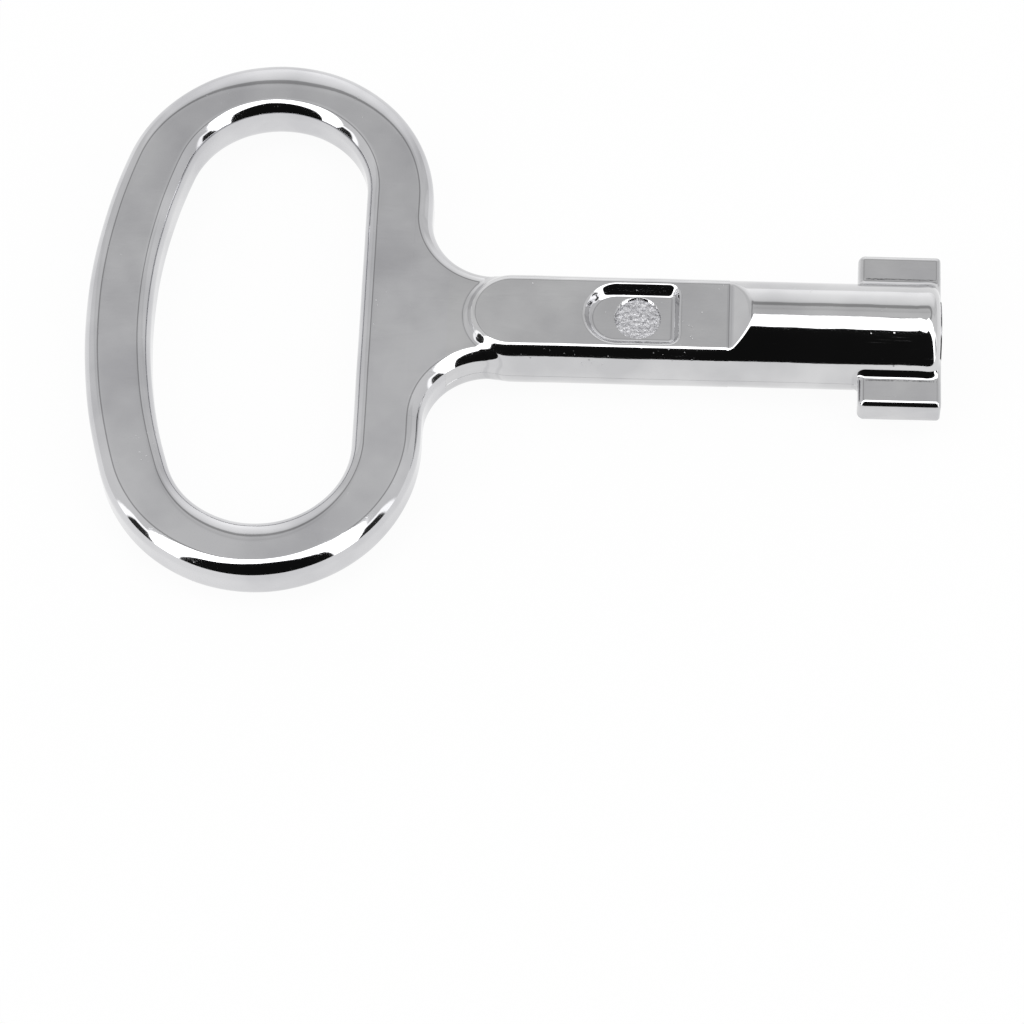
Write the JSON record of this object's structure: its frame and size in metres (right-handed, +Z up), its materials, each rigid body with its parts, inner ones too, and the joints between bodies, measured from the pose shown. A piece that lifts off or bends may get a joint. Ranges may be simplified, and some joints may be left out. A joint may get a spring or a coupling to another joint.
{
  "type": "double-bit tubular cabinet key",
  "caption": "Chrome cabinet key: D-shaped finger bow, web, flat-sided shank with a marked recess, tubular barrel and opposed bits at the tip.",
  "frame": {"origin": "centre of the overall box: on the shank's axis, halfway between the bow's far side and the tip", "axes": "+X along the shank towards the tip, +Y across the bow towards bit_left, +Z up out of the bow's upper flat face, the face with the recess on the shank"},
  "size_m": [0.075, 0.0514, 0.0098],
  "materials": {
    "bow_ring": "bright chrome plate on polished zinc casting",
    "web": "bright chrome plate on polished zinc casting",
    "shank": "bright chrome plate on polished zinc casting",
    "mark_disc": "chrome plate on a rough as-cast disc",
    "barrel": "bright chrome plate, finely speckled",
    "bit_left": "bright chrome plate on polished zinc casting",
    "bit_right": "bright chrome plate on polished zinc casting"
  },
  "bodies": {
    "root": {"bow_ring": "bow_ring", "web": "web", "shank": "shank", "mark_disc": "mark_disc", "barrel": "barrel", "bit_left": "bit_left", "bit_right": "bit_right"}
  },
  "joints": []
}
